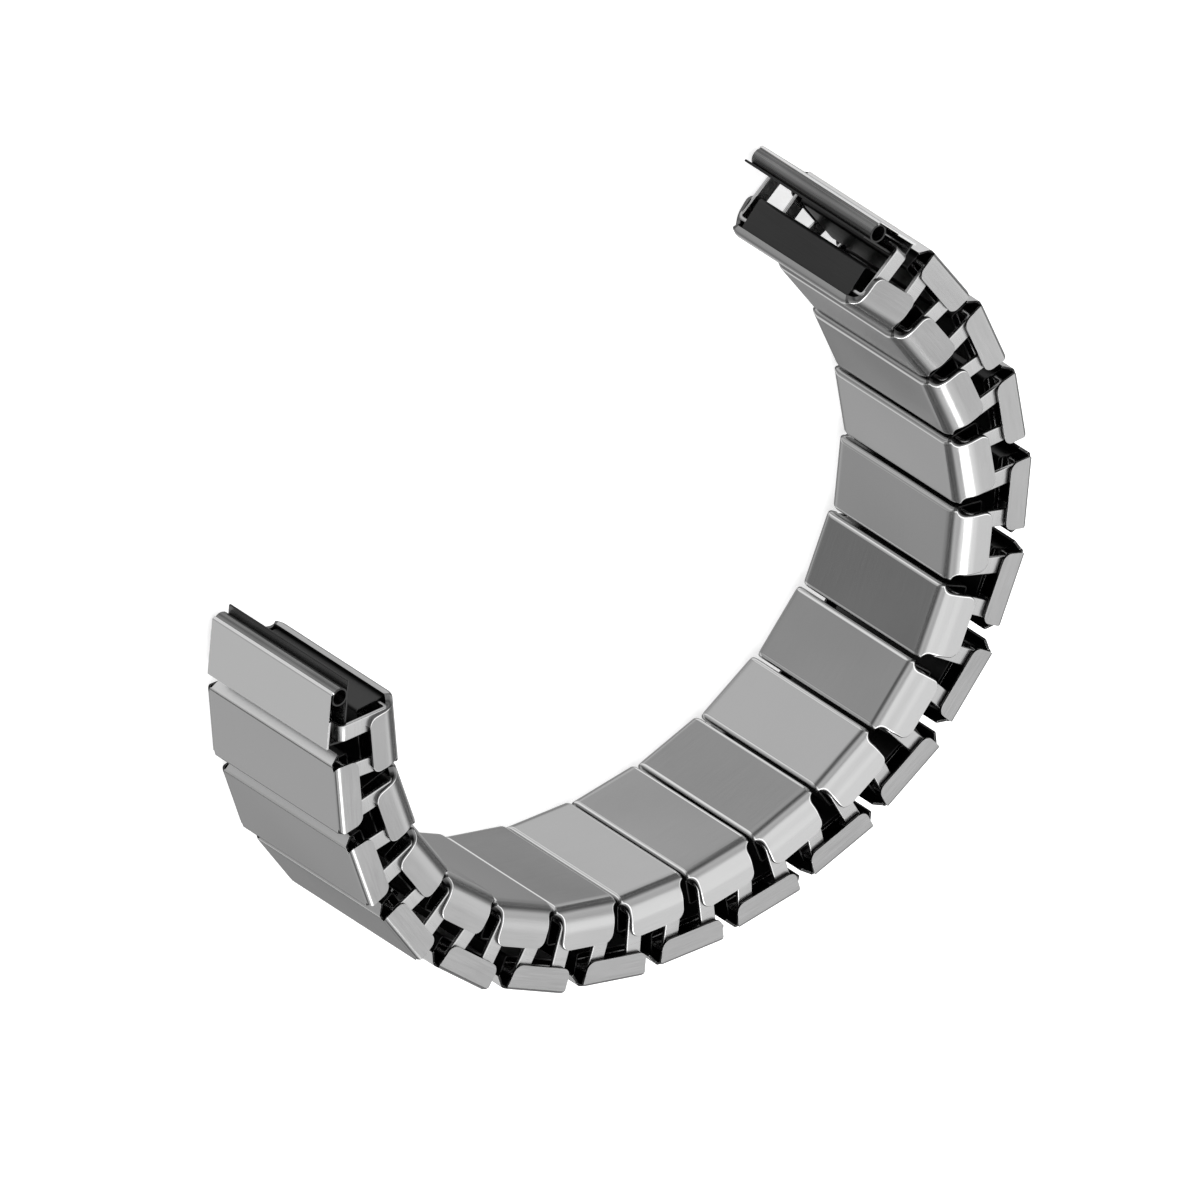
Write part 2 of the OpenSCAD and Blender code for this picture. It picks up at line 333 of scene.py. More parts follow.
# painted light: the end piece's satin steel made far lighter than the covers' satin steel
end_satin_painted_light = steel("end piece satin steel, painted light", 0.90, 0.02, (0.20, 0.25), ACROSS, 0.02)
# painted shade and painted reflections: a dark tube whose strong light and dark streaks stand for
# reflections
tube_painted_shade_and_reflections = steel("drawn tube, painted shade and reflections", 0.22, 0.12, (0.16, 0.34), STREAKS, 0.5)
# painted shade: a dark copy with strong streaks for the rear wall, which lies in shade
rear_wall_painted_shade = steel("rear wall steel, painted shade, streaky", 0.28, 0.12, (0.2, 0.35), STREAKS, 0.4)
print("finishes:", sorted(m.name for m in bpy.data.materials))

# A cover has three tones outside, numbers 0 to 2: its satin steel, a painted highlight and a
# painted shade. Numbers 3 to 5 are the inner side of each, all one near-black steel that paints
# the shade inside the cover. The edges of the outer covers are polished, number 6, with a painted
# highlight, and those of the inner ones take the painted shade of the inside.
PAINTED_HIGHLIGHT, PAINTED_SHADE, PAINTED_SHADE_INSIDE, POLISHED_PAINTED_HIGHLIGHT = 1, 2, 3, 6
outer_cover_finishes_and_painted_light = [outer_satin, slope_painted_highlight, painted_shade_lip_steel] + 3 * [shaded_inside_steel] + [polish_and_painted_highlight]
inner_cover_finishes_and_painted_light = [inner_satin, polish_and_painted_highlight, painted_shade_lip_steel] + 3 * [shaded_inside_steel]

# %% [markdown]
# ## A path over a folded sheet
# Both kinds of cover are channels: a face with a tab folded down at each end. One function draws
# the path from the middle of the face to the free edge of a tab, and both covers run along it.
# Drawing the fold as its own bend keeps its rows where the light changes most.

# %% Path of a channel
def tab_path(height, radius, deep, corner, bend_rows=9, lean=0.0):
    """Half the path of a channel, from the middle of its face to a tab's free edge. The bend is
    a quarter of an ellipse, radius wide and deep high: tan(slope) = deep tan(a) / radius.
    lean is how far a tab stands out for each unit of its depth: z' = z + lean * depth.

    Returns z, depth below the face, the bend's slope, and how far the corner narrows the tab."""
    flat_end = HALF - lean * height
    z = np.linspace(0, flat_end - radius, 6)
    a = np.linspace(0, math.pi / 2, bend_rows)[1:]
    d = np.linspace(deep, height - corner, 4)[1:]
    c = np.linspace(0, math.pi / 2, 7)[1:]
    zs = np.concatenate([z, flat_end - radius + radius * np.sin(a),
                         np.full(len(d) + len(c), flat_end)])
    depth = np.concatenate([0 * z, deep * (1 - np.cos(a)), d,
                            height - corner * (1 - np.sin(c))])
    bend = np.concatenate([0 * z, np.arctan2(deep * np.sin(a), radius * np.cos(a)),
                           np.full(len(d) + len(c), math.pi / 2)])
    cut = np.concatenate([np.zeros(len(z) + len(a) + len(d)), corner * (1 - np.cos(c))])
    leaning = np.arctan2(np.sin(bend), np.cos(bend) + lean * np.sin(bend))
    return zs + lean * depth, depth, leaning, cut


def whole_path(half):
    """The half path continued to the other tab: z changes its sign there, the rest doesn't."""
    return [np.concatenate([sign * values[:0:-1], values])
            for values, sign in zip(half, (-1, 1, 1, 1))]


# %% [markdown]
# ## Outer cover
# The cover of an outer link starts as a flat blank. Its two long edges are pressed down to slopes,
# and its two ends are folded square to make the side tabs, which taper and have round corners.
# The skin is one grid. Its rows follow the path over tab, fold, face, fold and tab, and its
# columns run from slope to slope. The quads of the slopes are left out where the tabs begin.

# %% Outer cover sizes
OUTER_FACE, OUTER_HALF = 1.2, 3.3       # height of the face over the leg axes, half its length
TAB_HALF, TAB_HEIGHT, TAB_CORNER = 3.04, 2.3, 0.7
TIP, SLOPE_DEPTH, CREASE = 3.96, 0.9, 0.22      # the slope's free edge, and the bend it hangs on
SHEET, FOLD = 0.2, 0.5
FOLD_CORNER = 0.5     # radius of the two corners beside the fold
SLOPE_CORNER = 0.45   # how much shorter the slope's free edge is than the bend that it hangs on
OUTER_CROWN = 0.04    # how far the middle of the face stands up
OUTER_ROUND = 0.07    # radius of the rounded edges


def crease(x, depth, tip_x, tip_depth, radius, count=6):
    """Points (x, depth) where a flat stretch ending at x bends to a slope ending at the tip.

    The bend is an arc of the given radius from angle 0 to the slope's angle."""
    slope = math.atan2(tip_depth - depth, tip_x - x)
    start = x - radius * math.tan(slope / 2)
    a = np.linspace(0, slope, count)
    arc = np.stack([start + radius * np.sin(a), depth + radius * (1 - np.cos(a))], axis=1)
    straight = np.array([tip_x, tip_depth]) - arc[-1]
    return np.vstack([arc, arc[-1] + 0.06 * straight, arc[-1] + 0.5 * straight,
                      arc[-1] + 0.94 * straight, [tip_x, tip_depth]])


# %% Outer cover
def outer_cover_skin():
    """Point (row, column) = (x, depth - face height - crown, z). Within the face x is a share of
    the row's half-width, which falls in a straight line with the tab's depth; beyond it x and
    depth follow the crease. crown = 0.04 (1 - u^2)^2 (1 - s^2), u across the band, s along it."""
    z, depth, bend, cut = whole_path(tab_path(TAB_HEIGHT, FOLD, FOLD, TAB_CORNER))
    slope = crease(OUTER_HALF, 0, TIP, SLOPE_DEPTH, CREASE)
    share = np.array([-1, -0.985, -0.9, -0.45, 0, 0.45, 0.9, 0.985, 1])
    taper = OUTER_HALF - (OUTER_HALF - TAB_HALF) * depth / TAB_HEIGHT
    width = slope[0, 0] + (taper - slope[0, 0]) * np.sin(bend) - cut
    low = np.clip(FOLD_CORNER - depth, 0, FOLD_CORNER)
    width -= (bend > 0) * (FOLD_CORNER - np.sqrt(FOLD_CORNER ** 2 - low ** 2))
    flat_x, flat_d = width[:, None] * share, np.repeat(depth[:, None], len(share), axis=1)
    side_x = np.repeat(slope[None, 1:, 0], len(z), axis=0)
    side_d = np.repeat(slope[None, 1:, 1], len(z), axis=0)
    x = np.hstack([-side_x[:, ::-1], flat_x, side_x])
    d = np.hstack([side_d[:, ::-1], flat_d, side_d])
    end = HALF - FOLD
    crown = (OUTER_CROWN * (1 - np.clip(z / end, -1, 1) ** 2)[:, None] ** 2
             * (1 - np.clip(x / OUTER_HALF, -1, 1) ** 2))
    side_s = np.linspace(0, 1, len(slope) - 1) ** 2
    reach = end - SLOPE_CORNER * np.hstack([side_s[::-1], 0 * share, side_s])[None, :]
    z_all = np.where((bend == 0)[:, None], np.clip(z[:, None], -reach, reach), z[:, None])
    points = np.stack([x, d - OUTER_FACE - crown, z_all], axis=-1)
    on_face = (np.abs(z[:-1]) <= end + 1e-6) & (np.abs(z[1:]) <= end + 1e-6)
    n = len(slope) - 1
    keep = np.ones((len(z) - 1, x.shape[1] - 1), dtype=bool)
    keep[:, :n] = on_face[:, None]
    keep[:, -n:] = on_face[:, None]
    # the slopes take the painted highlight, and the two columns at each crease beside the face the
    # painted shade
    finish = np.zeros(keep.shape, dtype=int)
    finish[:, :n], finish[:, -n:] = PAINTED_HIGHLIGHT, PAINTED_HIGHLIGHT
    finish[:, n - 2:n], finish[:, -n:-n + 2] = PAINTED_SHADE, PAINTED_SHADE
    return points, quads(len(z), x.shape[1], keep=keep), finish[keep]


outer_skin = outer_cover_skin()
print("outer cover skin:", outer_skin[0].shape[:2], "points,", len(outer_skin[1]), "quads")

# %% [markdown]
# ## Inner cover
# The cover on the wrist side must not catch hair or skin, so its face turns through a wide bend
# into the tabs, and its long edges are rolled over into lips. The lip fades out round the bend.
# The skin is a grid again: the row says where on the path a section lies, and the section is a
# flat part, an arc and a short straight, whose radius and depth shrink along the bend.

# %% Inner cover sizes
INNER_FACE = 1.35     # height of the face over the leg axes
INNER_TAB_HALF, INNER_HEIGHT, INNER_CORNER = 2.75, 3.5, 0.8
BEND, BEND_DEPTH = 1.6, 2.0     # the bend reaches further down the tab than in across the face
LIP_DEPTH, LIP_RADIUS, LIP_ANGLE = 0.8, 0.4, math.radians(88)
TAB_LIP, TAB_LIP_RADIUS = 0.42, 0.16    # the lip where it runs on down the side of a tab
TAB_LEAN = math.tan(math.radians(4))    # the tab is folded by 86 degrees, not quite square
FACE_GAP = 0.16       # between two inner faces at the tightest turn
INNER_CROWN = 0.05    # how far the middle of the face stands up
INNER_ROUND = 0.05    # radius of the rounded edges
tightest = max(turns)
INNER_HALF = ((LEG_X * (3 + math.cos(tightest)) - 2 * ROWS * math.sin(LEAN)
               - INNER_FACE * math.sin(tightest) - FACE_GAP) / (1 + math.cos(tightest)))
print("half length of an inner face, mm:", round(INNER_HALF, 3))


# %% Inner cover
def inner_cover_skin():
    """Point (row, column): the half-width flares in a quarter circle from the tab to the face,
    w = half - sqrt(flare^2 - fall^2). The lip's radius and depth shrink from the face to the tab
    by the square of the bend's cosine, and its sink turns with the bend from y to z."""
    z, depth, bend, cut = whole_path(tab_path(INNER_HEIGHT, BEND, BEND_DEPTH, INNER_CORNER,
                                              bend_rows=19, lean=TAB_LEAN))
    flare = INNER_HALF - INNER_TAB_HALF
    fall = np.clip(LIP_RADIUS + flare - depth, 0, flare)
    width = np.where(depth <= LIP_RADIUS, INNER_HALF,
                     INNER_HALF - np.sqrt(np.maximum(flare ** 2 - fall ** 2, 0))) - cut
    fade = np.cos(bend) ** 2
    lip = np.full(len(z), LIP_ANGLE)
    radius = TAB_LIP_RADIUS + (LIP_RADIUS - TAB_LIP_RADIUS) * fade
    drop = (TAB_LIP - TAB_LIP_RADIUS
            + (LIP_DEPTH - LIP_RADIUS - TAB_LIP + TAB_LIP_RADIUS) * fade)
    flat = width - radius * np.sin(lip)
    share = np.array([0, 0.45, 0.9, 0.98, 1.0])
    a = np.linspace(0, 1, 8)[1:]
    arc_x = flat[:, None] + radius[:, None] * np.sin(lip[:, None] * a)
    arc_d = radius[:, None] * (1 - np.cos(lip[:, None] * a))
    end_x = arc_x[:, -1:] + (drop * np.cos(lip))[:, None] * np.array([0.5, 1.0])
    end_d = arc_d[:, -1:] + (drop * np.sin(lip))[:, None] * np.array([0.5, 1.0])
    x = np.hstack([flat[:, None] * share, arc_x, end_x])
    sink = np.hstack([np.zeros((len(z), len(share))), arc_d, end_d])
    x, sink = np.hstack([-x[:, :0:-1], x]), np.hstack([sink[:, :0:-1], sink])
    side = np.sign(z)[:, None]
    end = np.abs(z[bend == 0]).max()
    crown = (INNER_CROWN * (1 - np.clip(z / end, -1, 1) ** 2)[:, None] ** 2
             * (1 - (x / INNER_HALF) ** 2))
    y = INNER_FACE - depth[:, None] - sink * np.cos(bend)[:, None] - crown
    points = np.stack([x, y, z[:, None] - side * sink * np.sin(bend)[:, None]], axis=-1)
    finish = np.zeros((len(z) - 1, x.shape[1] - 1), dtype=int)
    on_tab = bend[:-1] + bend[1:] > math.pi / 3
    # the start of each lip's arc takes the polished tone with its painted highlight, and beside
    # the tabs the lips take the painted shade
    finish[:, 6:9], finish[:, -9:-6] = PAINTED_HIGHLIGHT, PAINTED_HIGHLIGHT
    finish[on_tab, :7], finish[on_tab, -7:] = PAINTED_SHADE, PAINTED_SHADE
    return points, quads(len(z), x.shape[1])[:, ::-1], finish.ravel()


inner_skin = inner_cover_skin()
print("inner cover skin:", inner_skin[0].shape[:2], "points,", len(inner_skin[1]), "quads")

# %% [markdown]
# ## Sleeves and leaf springs
# Inside each cover lies a flat tube that holds it closed, and in the tube an arched leaf of spring
# steel, which presses on the bows' legs. The tube is a rounded loop carried across the band. The
# leaf is an arc of a circle, drawn as a skin, because a leaf is nothing but a thin bent strip.

# %% Sleeve
SLEEVE_HALF, SLEEVE_END, SLEEVE_WALL, SLEEVE_CORNER = 3.02, 6.8, 0.15, 0.3
SLEEVE_ROUND = 0.03   # radius of the rounded edges
UNDER_FACE = 0.22     # from a cover's face down to the sleeve


def loop(low, high, radius, count=5):
    """Points of a rectangle with round corners, going round counter-clockwise: each corner is
    the quarter circle r (cos a, sin a) turned on by a right angle from the corner before."""
    a = np.linspace(0, math.pi / 2, count)
    corner = np.stack([np.cos(a), np.sin(a)], axis=1) * radius
    centres = [(high[0] - radius, high[1] - radius), (low[0] + radius, high[1] - radius),
               (low[0] + radius, low[1] + radius), (high[0] - radius, low[1] + radius)]
    points = []
    for i, centre in enumerate(centres):
        q = i * math.pi / 2
        turn = np.array([[math.cos(q), math.sin(q)], [-math.sin(q), math.cos(q)]])
        points.append(corner @ turn + centre)
    return np.vstack(points)


def extruded(profile, zs, wrap=False):
    """A profile of (x, y) points carried across the band to each z."""
    points = np.stack([np.repeat(profile[None, :, 0], len(zs), axis=0),
                       np.repeat(profile[None, :, 1], len(zs), axis=0),
                       np.repeat(np.asarray(zs)[:, None], len(profile), axis=1)], axis=-1)
    return points, quads(len(zs), len(profile), wrap=wrap)


def sleeve_skin(bottom, top):
    """A rounded loop from bottom to top, carried from one end of the sleeve to the other."""
    profile = loop((-SLEEVE_HALF, bottom), (SLEEVE_HALF, top), SLEEVE_CORNER)
    zs = [-SLEEVE_END, -SLEEVE_END + 0.1, 0, SLEEVE_END - 0.1, SLEEVE_END]
    return extruded(profile, zs, wrap=True)


outer_sleeve = sleeve_skin(UNDER_FACE - OUTER_FACE, TAB_HEIGHT - OUTER_FACE + SLEEVE_WALL)
inner_sleeve = sleeve_skin(INNER_FACE - INNER_HEIGHT - SLEEVE_WALL, INNER_FACE - UNDER_FACE)
print("sleeve skin:", outer_sleeve[0].shape[:2], "points")

# %% Leaf spring
BOW_WIDTH, BOW_THICK = 1.5, 0.35
FULL_LEAN = math.radians(20)
LEAF, LEAF_MARGIN, LEAF_ROUND = 0.12, 0.3, 0.02   # thickness, gap beside the strip, edge radius
LEAF_PLAY = 0.04              # room between the leaf and the legs, and at the leaf's ends
ARCH_GAP = 0.02               # between the top of the arch and the sleeve
LEG_RISE = (BOW_WIDTH / 2 * math.sin(FULL_LEAN) + BOW_THICK / 2 * math.cos(FULL_LEAN)
            + LEAF_PLAY)      # how far a leg at full lean pushes the ends of the leaf up


def leaf_skin(low_x, high_x, crown):
    """y = low + rise - radius + sqrt(radius^2 - z^2), where low is the height of a leaf that
    lies on legs at full lean and rise is how far the crown stands over it."""
    reach, rise = SLEEVE_END - 2 * LEAF - LEAF_PLAY, abs(crown) - LEAF - LEG_RISE
    radius = (reach ** 2 + rise ** 2) / (2 * rise)
    z = np.linspace(-reach, reach, 41)
    y = math.copysign(1, crown) * (LEG_RISE + LEAF + rise - radius
                                   + np.sqrt(radius ** 2 - z ** 2))
    x = np.array([low_x, (low_x + high_x) / 2, high_x])
    points = np.stack([np.repeat(x[None], len(z), axis=0), np.repeat(y[:, None], 3, axis=1),
                       np.repeat(z[:, None], 3, axis=1)], axis=-1)
    faces = quads(len(z), 3)
    return points, faces[:, ::-1] if crown > 0 else faces


leaf_x = (LEAF_MARGIN - SLEEVE_HALF, SLEEVE_HALF - LEAF_MARGIN)
outer_leaf = leaf_skin(*leaf_x, TAB_HEIGHT - OUTER_FACE - ARCH_GAP)
inner_leaf = leaf_skin(*leaf_x, INNER_FACE - UNDER_FACE - SLEEVE_WALL - ARCH_GAP)
print("height of the outer leaf's arch, mm:", round(float(np.ptp(outer_leaf[0][..., 1])), 2))

# %% [markdown]
# ## Bows
# A bow is cut from rolled strip and bent twice in a jig. Its section is a flat rectangle with
# rounded edges, carried along a path of leg, bend, web, bend and leg. Both ends are closed. A
# curve with a bevel object gives the same shape, but a grid of our own keeps the section upright.

# %% Bow
WEB_Z, LEG_END, BOW_BEND, BOW_EDGE = 8.05, 1.2, 0.55, 0.1


def bow_surface(side):
    """Section (across, out) at each point of the centre line; side = 1 is the top edge. The
    centre line is straight, a quarter circle of radius r, straight, a quarter circle, straight,
    and out is its normal (0, ny, nz) away from the inside of the U."""
    r = BOW_BEND - BOW_THICK / 2
    z_in = WEB_Z - BOW_THICK / 2 - r
    a = np.linspace(0, math.pi / 2, 9)
    leg = np.linspace(LEG_END, z_in, 5)[:-1]
    web = np.linspace(r, ROWS - r, 4)[1:-1]
    y = np.concatenate([0 * leg, r * (1 - np.cos(a)), web, ROWS - r * (1 - np.cos(a[::-1])),
                        0 * leg + ROWS])
    z = np.concatenate([leg, z_in + r * np.sin(a), 0 * web + z_in + r,
                        z_in + r * np.sin(a[::-1]), leg[::-1]])
    ny = np.concatenate([0 * leg - 1, -np.cos(a), 0 * web, np.cos(a[::-1]), 0 * leg + 1])
    nz = np.concatenate([0 * leg, np.sin(a), 0 * web + 1, np.sin(a[::-1]), 0 * leg])
    section = loop((-BOW_WIDTH / 2, -BOW_THICK / 2), (BOW_WIDTH / 2, BOW_THICK / 2), BOW_EDGE, 4)
    points = np.stack([np.repeat(section[None, :, 0], len(y), axis=0),
                       y[:, None] + ny[:, None] * section[:, 1],
                       side * (z[:, None] + nz[:, None] * section[:, 1])], axis=-1)
    faces = quads(len(y), len(section), wrap=True)
    return points, faces[:, ::-1] if side > 0 else faces


def with_caps(points, faces):
    """Closes both ends of a carried section with a fan round a middle point."""
    rows, n = points.shape[:2]
    flat = points.reshape(-1, 3)
    middle = np.array([points[0].mean(axis=0), points[-1].mean(axis=0)])
    i = np.arange(n)
    j = (i + 1) % n
    first = np.stack([i, np.full(n, rows * n), j], axis=1)
    last = np.stack([(rows - 1) * n + j, np.full(n, rows * n + 1), (rows - 1) * n + i], axis=1)
    caps = np.vstack([first, last])
    turned_round = faces[0][1] != 1
    return np.vstack([flat, middle]), caps[:, ::-1] if turned_round else caps


def bow_pair_skin():
    """Both bows of a pair, at the top edge and the bottom edge: all points, then the corners of
    their walls and of their caps."""
    points, walls, caps, base = [], [], [], 0
    for side in (1, -1):
        surface, faces = bow_surface(side)
        closed, ends = with_caps(surface, faces)
        points.append(closed)
        walls += (faces + base).tolist()
        caps += (ends + base).tolist()
        base += len(closed)
    return np.vstack(points), walls + caps


bow_points, bow_corners = bow_pair_skin()
print("bow pair:", len(bow_points), "points,", len(bow_corners), "faces")


def bow_piece(name, spot, body, seed):
    """A pair of bows as one object."""
    thing = link_object(name, bow_points, bow_corners, spot, seed, [bow_steel])
    even_shading(thing)
    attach(thing, body)
    return thing


# %% [markdown]
# ## Dress the links
# Every link gets its own cover, sleeve and leaf. They stand for the plain solids of the link,
# which stay in the model for its collisions.

# %% What a link is made of
INNER_SEED, LEFT_BOW_SEED, RIGHT_BOW_SEED = 20, 40, 60   # added to k, so no grain is used twice


def link_pieces(row, k, spot, skin, finishes, rounding, sleeve, leaf, seed):
    """Cover, sleeve and leaf of link k in the row called outer or inner.

    skin is the cover's points, faces and finish numbers, some of them painted highlight and
    painted shade, and rounding is the radius of its edges and the number of their finish, which
    paints a highlight on the outer covers and shade on the inner ones."""
    node = f"{row}_link_{k:02d}"
    points, faces, finish = skin
    radius, edge_finish_and_painted_light = rounding
    cover = piece(f"{row}_cover_{k:02d}", points, faces, spot, node, finishes, "link", seed,
                  finish=finish)
    sheet_metal(cover, SHEET, radius, edge_material=edge_finish_and_painted_light, inside=PAINTED_SHADE_INSIDE, cut=PAINTED_SHADE_INSIDE)
    # the sleeve's near-black tone paints the shade inside the cover
    tube = piece(f"{row}_sleeve_{k:02d}", *sleeve, spot, node, [painted_shade_sleeve_steel], "link", seed)
    sheet_metal(tube, SLEEVE_WALL, SLEEVE_ROUND, edge_material=0)
    spring = piece(f"{row}_leaf_{k:02d}", *leaf, spot, node, [leaf_steel], "link", seed)
    sheet_metal(spring, LEAF, LEAF_ROUND, edge_material=0)
    for thing in (cover, tube, spring):
        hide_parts(node)


# %% Outer links
for k in range(1, PITCHES):
    # the outer covers' edges are polished, with a painted highlight
    link_pieces("outer", k, outer[k], outer_skin, outer_cover_finishes_and_painted_light,
                (OUTER_ROUND, POLISHED_PAINTED_HIGHLIGHT), outer_sleeve, outer_leaf, k)
print("outer links dressed:", PITCHES - 1)

# %% Inner links with the bows at their left, and the bows at their right
for k in range(1, PITCHES + 1):
    # the inner covers' edges take the painted shade of the inside
    link_pieces("inner", k, inner[k], inner_skin, inner_cover_finishes_and_painted_light,
                (INNER_ROUND, PAINTED_SHADE_INSIDE), inner_sleeve, inner_leaf, INNER_SEED + k)
    node, pair = f"inner_link_{k:02d}", f"bow_pair_{k:02d}"
    left_leg = inner[k][0] - LEG_X * along(inner[k][1])
    left_pair = bow_piece(f"left_bows_{k:02d}",
                          bow_spot(pivot[f"bend_{k:02d}"], left_leg),
                          node, LEFT_BOW_SEED + k)
    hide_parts(node)
    right_pair = bow_piece(f"right_bows_{k:02d}",
                           bow_spot(pivot[f"level_{k:02d}"], pivot[f"stretch_{k:02d}"]),
                           pair, RIGHT_BOW_SEED + k)
    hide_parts(pair)
print("inner links and pairs of bows dressed:", PITCHES)

# %% [markdown]
# ## End pieces
# Where the band meets the watch, a narrow end piece holds the spring bar in a drawn tube, between
# a face and a rear wall that ends in a lip; the face is painted light, and the wall and the tube
# are painted dark for the shade they lie in. Each is a profile carried across the band, and
# the right end piece is the left one with x turned round, so its faces are turned round as well.

# %% End piece sizes
END_START, END_REAR, END_LIP, END_HALF = -1.75, 0.65, 0.85, 7.66
TUBE_RADIUS, TUBE_WALL = 0.825, 0.175
END_ROUND, TUBE_ROUND = 0.05, 0.04      # radius of the rounded edges
END_LEAF = np.array([-0.25, 2.78])      # the leaf lies between the tube and the rear wall
LEFT_SEED, RIGHT_SEED = 90, 95


def rounded_path(points, radius, count=6):
    """A line through points (x, y) whose inner corners are arcs of the radius.

    An arc's middle lies on the corner's bisector, radius / sin(half the corner's angle) away."""
    points = np.asarray(points, dtype=float)
    out = [points[:1]]
    for before, corner, after in zip(points, points[1:], points[2:]):
        one, two = before - corner, after - corner
        one, two = one / np.linalg.norm(one), two / np.linalg.norm(two)
        half = math.acos(float(np.clip(one @ two, -1, 1))) / 2
        middle = corner + (one + two) / np.linalg.norm(one + two) * radius / math.sin(half)
        start = corner + one * radius / math.tan(half)
        stop = corner + two * radius / math.tan(half)
        share = np.linspace(0, 1, count)[:, None]
        arc = (start - middle) * (1 - share) + (stop - middle) * share
        arc = middle + arc / np.linalg.norm(arc, axis=1, keepdims=True) * radius
        out += [start + one * 0.03, arc, stop + two * 0.03]
    return np.vstack(out + [points[-1:]])


# %% End pieces
face_line = rounded_path([(END_START - 0.2, -1.0), (END_START, -OUTER_FACE),
                          (OUTER_HALF, -OUTER_FACE)], 0.12)
wall_line = rounded_path([(END_START - END_LIP, END_REAR), (SLEEVE_HALF, END_REAR),
                          (SLEEVE_HALF, 0.12 - OUTER_FACE)], 0.3)
tube_angle = np.linspace(0, 2 * math.pi, 49)[:-1]
tube_line = np.stack([BAR[0] + TUBE_RADIUS * np.cos(tube_angle),
                      BAR[1] + TUBE_RADIUS * np.sin(tube_angle)], axis=1)
end_zs = [-END_HALF, -END_HALF + 0.1, -3, 0, 3, END_HALF - 0.1, END_HALF]


def end_piece(name, spot, node, side, seed):
    """Face, rear wall, tube and leaf of one end piece; side = -1 is the right one."""
    turned = np.array([side, 1])
    # the face's light tone and its polished edges paint highlights; the rear wall's and the tube's
    # dark streaky tones paint shade and reflections, and their edges take the near-black of the
    # inside
    front = piece(f"{name}_face", *extruded(face_line * turned, end_zs), spot, node,
                  [end_satin_painted_light, polish_and_painted_highlight], "end", seed, side < 0)
    sheet_metal(front, SHEET, END_ROUND)
    rear = piece(f"{name}_rear_wall", *extruded(wall_line * turned, end_zs), spot, node,
                 [rear_wall_painted_shade, shaded_inside_steel], "end", seed + 1, side > 0)
    sheet_metal(rear, SHEET, END_ROUND)
    tube = piece(f"{name}_bar_tube", *extruded(tube_line * turned, end_zs, wrap=True), spot,
                 node, [tube_painted_shade_and_reflections, shaded_inside_steel], "end", seed + 2, side < 0)
    sheet_metal(tube, TUBE_WALL, TUBE_ROUND)
    strip = leaf_skin(*(END_LEAF * side), UNDER_FACE - OUTER_FACE)
    leaf = piece(f"{name}_leaf", *strip, spot, node, [leaf_steel], "end", seed + 3, side < 0)
    sheet_metal(leaf, LEAF, LEAF_ROUND, edge_material=0)
    for thing in (front, rear, tube, leaf):
        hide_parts(node)


end_piece("left_end", left_end, "end_piece_left", 1, LEFT_SEED)
end_piece("right_end", right_end, "end_piece_right", -1, RIGHT_SEED)

# %% [markdown]
# ## Floor
# The photograph has no background. A plain pale floor carries a faint contact shadow. Polished
# steel is photographed in a tent of white sheets and grey cards, and those are what the metal
# mirrors, so the floor is kept out of the reflections. A little light of its own keeps the paper
# as white as the photograph's ground, where a lamp alone would leave a grey halo.

# %% Floor
FLOOR_REACH, FLOOR_DROP, FLOOR_GLOW = 1.5, 0.00002, 0.7

floor_mesh = bpy.data.meshes.new("floor")
floor_mesh.from_pydata([(x * FLOOR_REACH, y * FLOOR_REACH, -FLOOR_DROP)
                        for x, y in ((-1, -1), (1, -1), (1, 1), (-1, 1))], [], [(0, 1, 2, 3)])
floor = bpy.data.objects.new("floor", floor_mesh)
bpy.context.scene.collection.objects.link(floor)
paper = bpy.data.materials.new("pale paper")
paper.use_nodes = True
nodes, links = paper.node_tree.nodes, paper.node_tree.links
shader = nodes["Principled BSDF"]
shader.inputs["Roughness"].default_value = 0.9
shader.inputs["Specular IOR Level"].default_value = 0.0
shader.inputs["Emission Color"].default_value = (1, 1, 1, 1)
shader.inputs["Emission Strength"].default_value = FLOOR_GLOW
texture = nodes.new("ShaderNodeTexNoise")
texture.inputs["Scale"].default_value = 900
coordinates = nodes.new("ShaderNodeTexCoord")
links.new(coordinates.outputs["Object"], texture.inputs["Vector"])
tint = nodes.new("ShaderNodeMix")
tint.data_type = "RGBA"
tint.inputs["A"].default_value = (0.93, 0.93, 0.93, 1)
tint.inputs["B"].default_value = (0.95, 0.95, 0.95, 1)
links.new(texture.outputs["Fac"], tint.inputs["Factor"])
links.new(tint.outputs["Result"], shader.inputs["Base Color"])
floor_mesh.materials.append(paper)
floor.visible_glossy = False
print("floor, metres across:", 2 * FLOOR_REACH)

# %% [markdown]
# ## Light
# The tent: light from above, a darker band at the horizon, and below it a ring of cards whose
# tone changes with the direction. Each flat link mirrors its own part of the ring, which is what
# makes neighbouring links on the photograph lighter and darker. The tabs mirror the sky, those of
# the inner row a higher part of it. Lamps alone would leave bare steel almost black.

# %% Tones of the tent
RING = [(-180, 0.35), (-169, 0.5), (-146, 0.65), (-119, 0.5), (-105, 0.24), (-85, 0.36),
        (-56, 0.5), (-25, 0.4), (0, 0.36), (23, 0.9), (43, 0.56), (65, 0.48), (91, 0.85),
        (122, 0.48), (157, 0.25), (180, 0.35)]      # direction round the band in degrees, tone
SKY = [(-0.3, 0.6), (-0.1, 0.45), (0.02, 0.15), (0.18, 0.12), (0.3, 0.35), (0.42, 0.85),
       (0.66, 0.66), (0.7, 0.68), (0.76, 1.3), (0.9, 1.3), (1.0, 1.1)]  # upward part z, tone
SKY_LOW, SKY_HIGH = -0.5, 1.0           # the range of z that the sky's ramp covers
MEET_LOW, MEET_HIGH = -0.3, -0.1        # between these the ring goes over into the sky

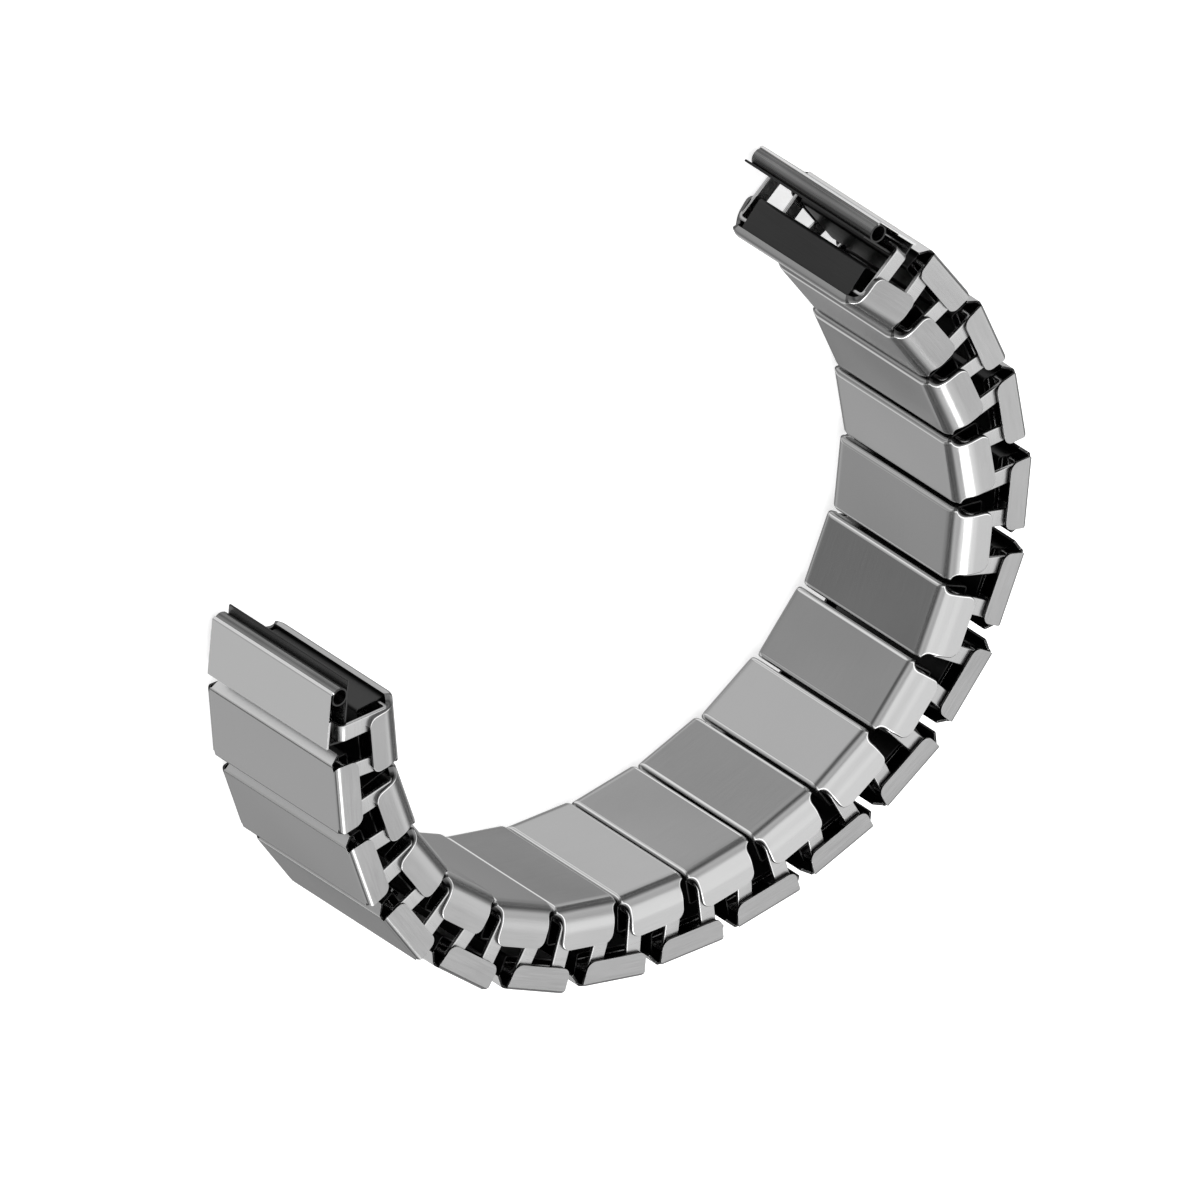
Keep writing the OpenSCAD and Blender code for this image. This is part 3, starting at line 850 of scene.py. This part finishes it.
# %% Light tent
world = bpy.data.worlds.new("light tent")
bpy.context.scene.world = world
world.use_nodes = True
nodes, links = world.node_tree.nodes, world.node_tree.links
background = nodes["Background"]
where = nodes.new("ShaderNodeTexCoord")
split = nodes.new("ShaderNodeSeparateXYZ")
links.new(where.outputs["Generated"], split.inputs["Vector"])


def ramp(source, stops):
    """A colour ramp of greys, straight between its (position, tone) pairs."""
    node = nodes.new("ShaderNodeValToRGB")
    node.color_ramp.interpolation = "LINEAR"
    elements = node.color_ramp.elements
    while len(elements) < len(stops):
        elements.new(0.5)
    for element, (position, tone) in zip(elements, stops):
        element.position = position
        element.color = (tone, tone, tone, 1)
    links.new(source, node.inputs["Fac"])
    return node.outputs["Color"]


def remap(source, low, high):
    """Maps low..high to 0..1."""
    node = nodes.new("ShaderNodeMapRange")
    node.inputs["From Min"].default_value, node.inputs["From Max"].default_value = low, high
    links.new(source, node.inputs["Value"])
    return node.outputs["Result"]


def mixed(factor, first, second):
    """first where the factor is 0, second where it is 1; second is an output or a colour."""
    node = nodes.new("ShaderNodeMix")
    node.data_type = "RGBA"
    links.new(factor, node.inputs["Factor"])
    links.new(first, node.inputs["A"])
    if isinstance(second, tuple):
        node.inputs["B"].default_value = second
    else:
        links.new(second, node.inputs["B"])
    return node.outputs["Result"]


bearing = nodes.new("ShaderNodeMath")
bearing.operation = "ARCTAN2"
links.new(split.outputs["Y"], bearing.inputs[0])
links.new(split.outputs["X"], bearing.inputs[1])
ring = ramp(remap(bearing.outputs["Value"], -math.pi, math.pi),
            [((degrees + 180) / 360, tone) for degrees, tone in RING])
sky = ramp(remap(split.outputs["Z"], SKY_LOW, SKY_HIGH),
           [((z - SKY_LOW) / (SKY_HIGH - SKY_LOW), tone) for z, tone in SKY])
tent = mixed(remap(split.outputs["Z"], MEET_LOW, MEET_HIGH), ring, sky)
# past the floor's edge the camera sees plain white; the tent is there for the metal alone
seen_by = nodes.new("ShaderNodeLightPath")
links.new(mixed(seen_by.outputs["Is Camera Ray"], tent, (1, 1, 1, 1)),
          background.inputs["Color"])
background.inputs["Strength"].default_value = 1.0
print("tent:", len(RING), "cards in the ring,", len(SKY), "tones in the sky")

# %% Lamps
def soft_box(name, place, watts, width):
    """A square area lamp that faces the middle of the band."""
    lamp = bpy.data.lights.new(name, "AREA")
    lamp.energy, lamp.size = watts, width
    thing = bpy.data.objects.new(name, lamp)
    bpy.context.scene.collection.objects.link(thing)
    thing.location = place
    thing.rotation_euler = (-Vector(place)).to_track_quat("-Z", "Y").to_euler()


soft_box("key", (-0.17, -0.30, 0.44), 0.5, 0.25)
soft_box("fill", (0.35, -0.3, 0.35), 0.07, 0.3)
bpy.context.scene.view_settings.view_transform = "Standard"
print("lamps:", sorted(lamp.name for lamp in bpy.data.lights))
